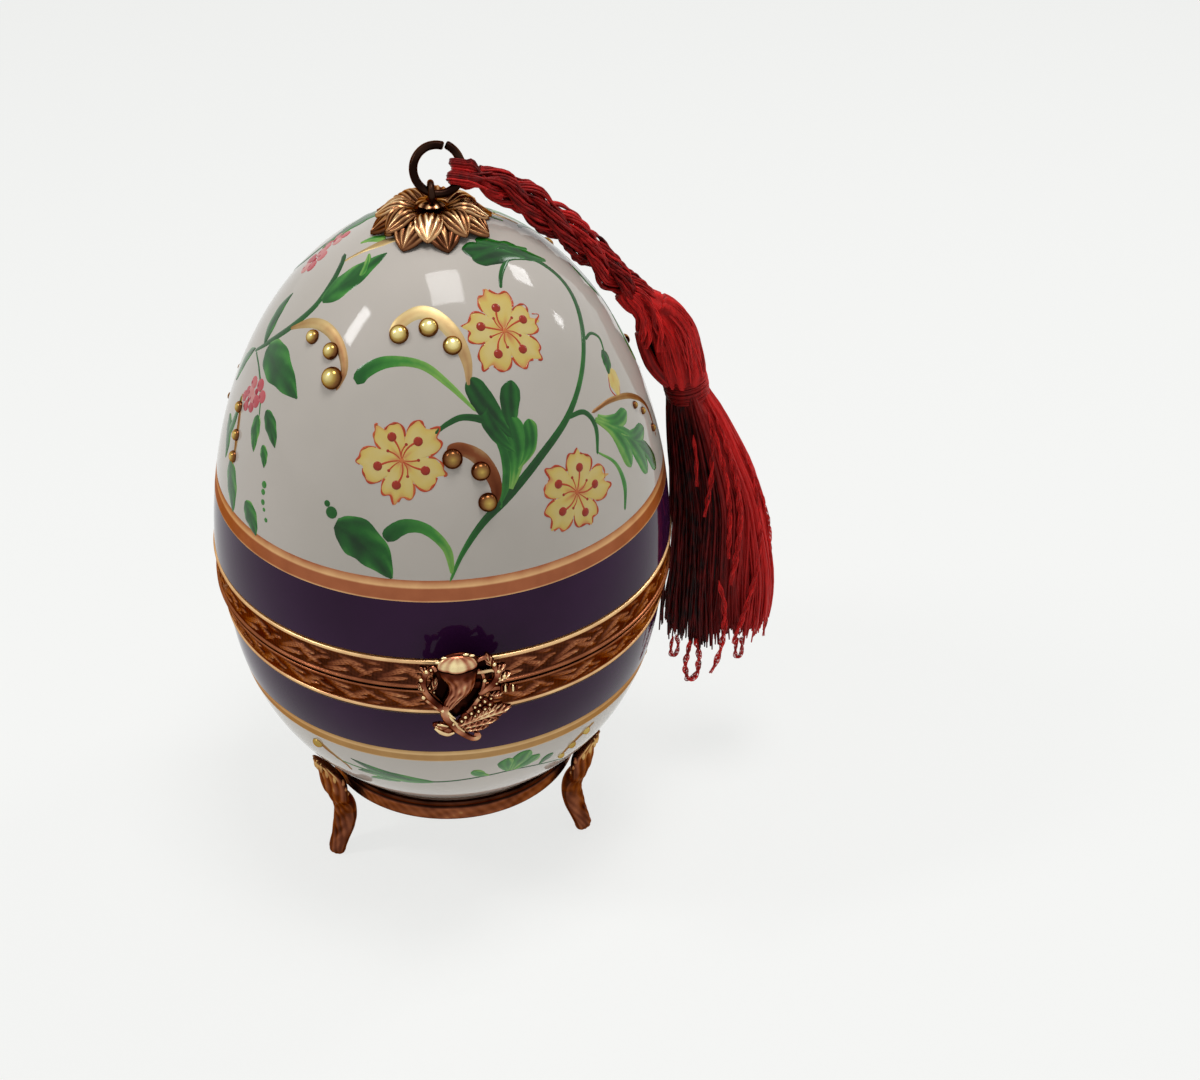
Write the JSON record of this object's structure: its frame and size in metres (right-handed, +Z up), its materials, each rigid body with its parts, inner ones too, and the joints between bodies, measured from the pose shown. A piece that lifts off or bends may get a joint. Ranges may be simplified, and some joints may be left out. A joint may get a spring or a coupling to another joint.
{
  "type": "egg box on stand",
  "caption": "Egg-shaped porcelain trinket box with gilt bezels, rear hinge and front clasp, on a three-footed gilt stand, with a petalled finial and a red tassel on a ring.",
  "frame": {"origin": "on the egg's vertical axis, in the plane that the three feet stand on", "axes": "+Z up, -Y towards the clasp, +Y towards the hinge, +X towards the side where the tassel hangs"},
  "size_m": [0.0754, 0.067, 0.1],
  "materials": {
    "porcelain": "gloss",
    "stand_gilt": "satin",
    "bezel_gilt": "satin",
    "rosette_gilt": "satin",
    "dark_bronze": "satin",
    "brass": "satin",
    "red_silk": "satin"
  },
  "bodies": {
    "base": {"stand_ring": "stand_gilt", "foot_rear": "stand_gilt", "foot_left": "stand_gilt", "foot_right": "stand_gilt", "lower_shell": "porcelain", "lower_bezel": "bezel_gilt", "hinge_knuckle_left": "bezel_gilt", "hinge_knuckle_right": "bezel_gilt", "hinge_pin": "bezel_gilt", "catch_stud": "bezel_gilt"},
    "lid": {"upper_shell": "porcelain", "upper_bezel": "bezel_gilt", "hinge_knuckle_centre": "bezel_gilt", "clasp_lug_left": "bezel_gilt", "clasp_lug_right": "bezel_gilt", "clasp_pin": "bezel_gilt", "rosette_outer_petals": "rosette_gilt", "rosette_inner_petals": "rosette_gilt", "finial_post": "dark_bronze", "finial_washer": "brass", "finial_nut": "brass"},
    "clasp": {"clasp_sprig": "bezel_gilt"},
    "ring": {"jump_ring": "dark_bronze", "tassel_cord": "red_silk"},
    "tassel": {"tassel_head": "red_silk", "tassel_binding": "red_silk", "tassel_skirt": "red_silk"}
  },
  "joints": [
    {"name": "lid_hinge", "type": "hinge", "parent": "base", "child": "lid", "pos_m": [0, 0.03188, 0.0434], "axis": [-1, 0, 0], "range_deg": [0, 95]},
    {"name": "clasp_hinge", "type": "hinge", "parent": "lid", "child": "clasp", "pos_m": [0, -0.03105, 0.0463], "axis": [-1, 0, 0], "range_deg": [0, 25]},
    {"name": "ring_tilt", "type": "hinge", "parent": "lid", "child": "ring", "pos_m": [0, 0, 0.0947], "axis": [1, 0, 0], "range_deg": [0, 60]},
    {"name": "tassel_swing", "type": "hinge", "parent": "ring", "child": "tassel", "pos_m": [0.03056, 0.004, 0.07214], "axis": [0, -1, 0], "range_deg": [0, 60]}
  ]
}
